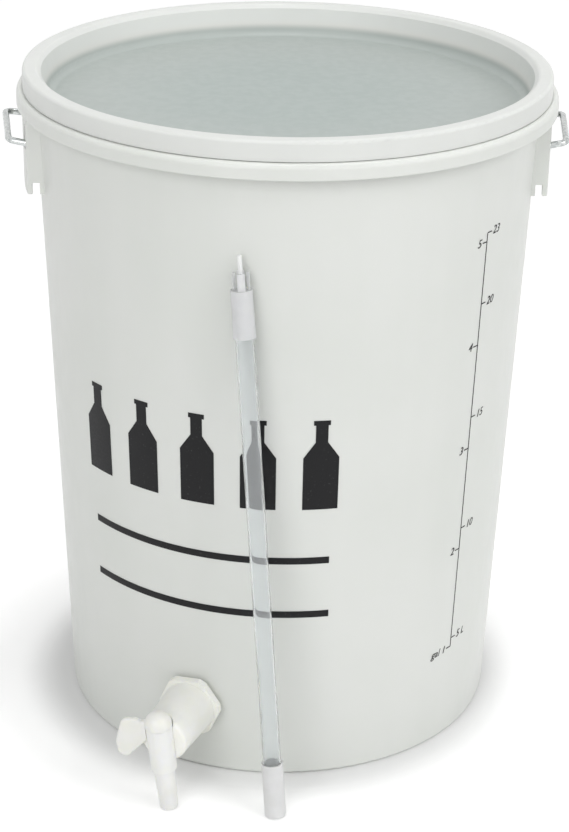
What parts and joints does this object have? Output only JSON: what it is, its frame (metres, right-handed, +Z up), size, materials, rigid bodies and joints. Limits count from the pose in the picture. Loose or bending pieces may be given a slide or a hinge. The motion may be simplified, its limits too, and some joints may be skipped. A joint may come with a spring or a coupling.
{
  "type": "bottling bucket",
  "caption": "White plastic brewing bucket with a push-on lid, two wire handles in moulded ears, a lever tap low on the front and a rigid bottling wand leaning on its wall.",
  "frame": {"origin": "centre of the bucket's foot ring on the surface it stands on", "axes": "+Z up along the bucket's axis, X through the two wire handles, tap and wand on the -Y side"},
  "size_m": [0.3496, 0.3505, 0.416],
  "materials": {
    "bucket_plastic": "satin, slightly translucent",
    "lid_plastic": "satin, slightly translucent",
    "handle_wire": "zinc plated wire",
    "tap_plastic": "semi-gloss moulding",
    "plug_plastic": "semi-gloss moulding",
    "washer_rubber": "soft matte",
    "ring_rubber": "matte black",
    "connector_vinyl": "soft, cloudy",
    "clear_tube": "clear, gloss",
    "valve_plastic": "semi-gloss moulding",
    "pin_plastic": "semi-gloss moulding"
  },
  "bodies": {
    "bucket": {"bucket": "bucket_plastic", "tap_body": "tap_plastic", "tap_outer_washer": "washer_rubber", "tap_inner_washer": "washer_rubber", "tap_back_nut": "tap_plastic", "wand_connector": "connector_vinyl", "wand_tube": "clear_tube", "wand_valve_housing": "valve_plastic"},
    "lid": {"lid": "lid_plastic"},
    "left_handle": {"left_handle": "handle_wire"},
    "right_handle": {"right_handle": "handle_wire"},
    "tap_plug": {"tap_plug": "plug_plastic", "tap_plug_ring_upper": "ring_rubber", "tap_plug_ring_lower": "ring_rubber"},
    "wand_pin": {"wand_valve_pin": "pin_plastic", "wand_valve_seal": "ring_rubber"}
  },
  "joints": [
    {"name": "lid_lift", "type": "slide", "parent": "bucket", "child": "lid", "axis": [0, 0, 1], "range_m": [0, 0.06]},
    {"name": "left_handle_swing", "type": "hinge", "parent": "bucket", "child": "left_handle", "pos_m": [-0.151, 0, 0.374], "axis": [0, 1, 0], "range_deg": [0, 38]},
    {"name": "right_handle_swing", "type": "hinge", "parent": "bucket", "child": "right_handle", "pos_m": [0.151, 0, 0.374], "axis": [0, -1, 0], "range_deg": [0, 38]},
    {"name": "tap_turn", "type": "hinge", "parent": "bucket", "child": "tap_plug", "pos_m": [-0.07666, -0.17058, 0.04576], "axis": [-0.1071, 0.0081, 0.9942], "range_deg": [0, 90]},
    {"name": "wand_pin_slide", "type": "slide", "parent": "bucket", "child": "wand_pin", "axis": [-0.0682, 0.0827, 0.9942], "range_m": [0, 0.0036]}
  ]
}
